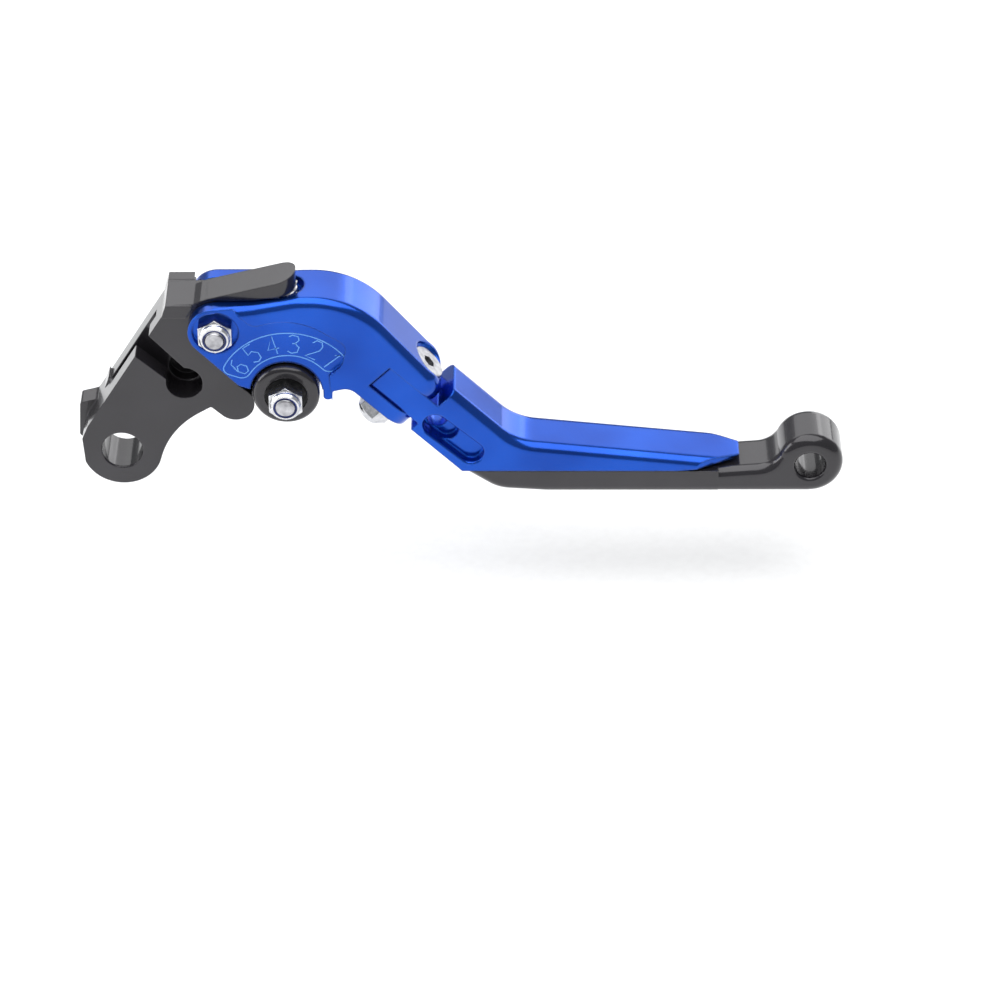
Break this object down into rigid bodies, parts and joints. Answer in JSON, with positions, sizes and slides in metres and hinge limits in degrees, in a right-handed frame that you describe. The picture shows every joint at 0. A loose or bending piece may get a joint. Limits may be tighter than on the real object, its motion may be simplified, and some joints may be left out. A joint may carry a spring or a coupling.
{
  "type": "clutch lever",
  "caption": "Folding, extendable clutch lever: black pivot bracket, blue lever base with a numbered reach dial, blue folding blade and a black sliding ball-end tip.",
  "frame": {"origin": "on the axis of the pivot bore, level with the middle of the fold hinge", "axes": "+X from the pivot bore towards the ball end, +Y along the pivot bore away from the numbered face, +Z away from the grip"},
  "size_m": [0.1874, 0.0265, 0.0618],
  "materials": {
    "blue_anodised": "satin anodised",
    "black_anodised": "gloss anodised",
    "stainless": "bright",
    "screw_steel": "satin",
    "black_steel": "black oxide",
    "spring_steel": "satin",
    "nylon": "matte",
    "bronze": "plain"
  },
  "bodies": {
    "bracket": {"bracket": "black_anodised", "return_spring": "spring_steel"},
    "lever_base": {"lever_base": "blue_anodised", "lever_pivot_bolt": "screw_steel", "lever_pivot_nut": "stainless", "lever_pivot_nut_insert": "nylon", "lever_pivot_sleeve": "bronze", "lever_pivot_shims": "nylon", "adjuster_bolt": "screw_steel", "adjuster_nut": "stainless", "adjuster_nut_insert": "nylon", "adjuster_washer": "black_steel", "adjuster_sleeve": "bronze", "fold_screw": "screw_steel", "fold_nut": "stainless", "fold_nut_insert": "nylon", "fold_washer": "stainless", "fold_sleeve": "bronze"},
    "adjuster": {"adjuster_dial": "black_anodised"},
    "blade": {"blade": "blue_anodised", "extension_clamp_screw": "screw_steel", "extension_clamp_washer": "stainless"},
    "extension": {"extension": "black_anodised"}
  },
  "joints": [
    {"name": "lever_reach", "type": "hinge", "parent": "bracket", "child": "lever_base", "pos_m": [0.0245, 0, 0.0368], "axis": [0, 1, 0], "range_deg": [0, 8.25], "deforming": ["return_spring"]},
    {"name": "adjuster_turn", "type": "hinge", "parent": "lever_base", "child": "adjuster", "pos_m": [0.041, 0, 0.0198], "axis": [0, 1, 0], "range_deg": [0, 300]},
    {"name": "blade_fold", "type": "hinge", "parent": "lever_base", "child": "blade", "pos_m": [0.07092, 0, 0.02002], "axis": [0.7071, 0, 0.7071], "range_deg": [0, 90]},
    {"name": "extension_slide", "type": "slide", "parent": "blade", "child": "extension", "axis": [1, 0, 0], "range_m": [0, 0.02]}
  ],
  "couplings": [
    {"joint": "lever_reach", "follows": "adjuster_turn", "ratio": 0.0275}
  ]
}
